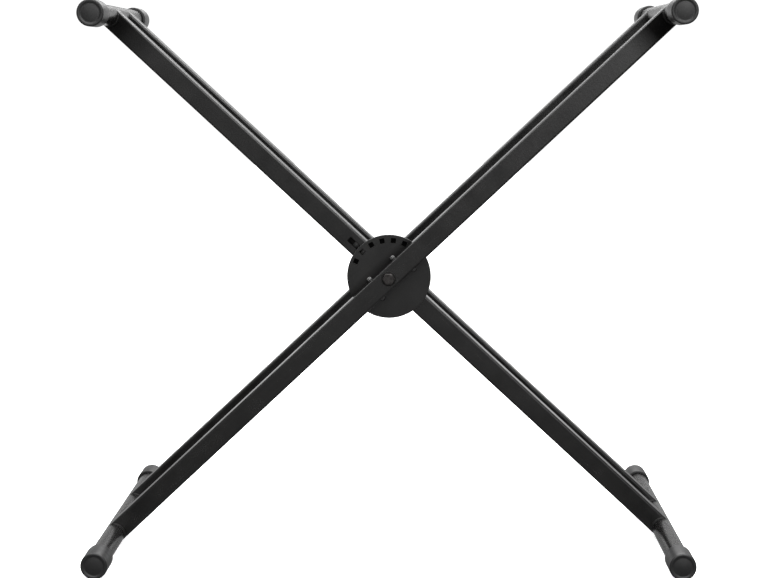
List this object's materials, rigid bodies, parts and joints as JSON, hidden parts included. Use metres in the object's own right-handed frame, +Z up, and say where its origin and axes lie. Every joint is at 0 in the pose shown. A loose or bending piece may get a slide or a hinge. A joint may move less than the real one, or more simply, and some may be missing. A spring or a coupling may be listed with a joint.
{
  "type": "keyboard stand",
  "caption": "Folding double-braced X stand: two pairs of square legs crossing at a lock plate, with round arms, round feet and rubber caps.",
  "frame": {"origin": "on the floor, under the pivot, midway between the front and rear legs", "axes": "+Z up, +X to the right across the stand as pictured, -Y towards the camera, along the arms and feet"},
  "size_m": [0.7204, 0.484, 0.675],
  "materials": {
    "painted_tube": "finely textured semi-gloss black powder coat",
    "painted_weld": "black powder coat over weld bead",
    "plate_steel": "semi-gloss black powder coat",
    "cap_rubber": "matt moulded rubber",
    "dark_fastener": "black oxide",
    "zinc_steel": "zinc plated",
    "spring_steel": "drawn wire",
    "nylon": "black nylon",
    "grip_plastic": "fine moulded texture"
  },
  "bodies": {
    "outer_frame": {"outer_leg_front": "painted_tube", "outer_leg_rear": "painted_tube", "outer_arm": "painted_tube", "outer_foot": "painted_tube", "outer_arm_cap_front": "cap_rubber", "outer_arm_cap_rear": "cap_rubber", "outer_foot_cap_front": "cap_rubber", "outer_foot_cap_rear": "cap_rubber", "outer_seams": "painted_weld", "lock_disc": "plate_steel", "disc_welds": "painted_weld", "crush_sleeves": "zinc_steel", "rear_spacer": "zinc_steel", "pivot_bolt": "dark_fastener", "bolt_washers": "dark_fastener", "pivot_nut": "dark_fastener"},
    "inner_frame": {"inner_leg_front": "painted_tube", "inner_leg_rear": "painted_tube", "inner_arm": "painted_tube", "inner_foot": "painted_tube", "inner_arm_cap_front": "cap_rubber", "inner_arm_cap_rear": "cap_rubber", "inner_foot_cap_front": "cap_rubber", "inner_foot_cap_rear": "cap_rubber", "inner_seams": "painted_weld", "bearing_disc": "nylon", "pivot_bushes": "nylon", "hub_sleeve": "painted_tube", "latch_pin": "zinc_steel", "spring_stud": "zinc_steel", "latch_spring": "spring_steel"},
    "latch": {"latch_lever": "plate_steel", "trigger_grip": "grip_plastic"}
  },
  "joints": [
    {"name": "frame_fold", "type": "hinge", "parent": "outer_frame", "child": "inner_frame", "pos_m": [0, 0, 0.33752], "axis": [0, -1, 0], "range_deg": [-90, 18]},
    {"name": "latch_swing", "type": "hinge", "parent": "inner_frame", "child": "latch", "pos_m": [-0.05992, -0.0495, 0.3935], "axis": [-0.6826, 0, -0.7308], "range_deg": [-2, 5], "stiffness_Nm_per_rad": 1.9, "springref_deg": 11.46, "deforming": ["latch_spring"]}
  ]
}
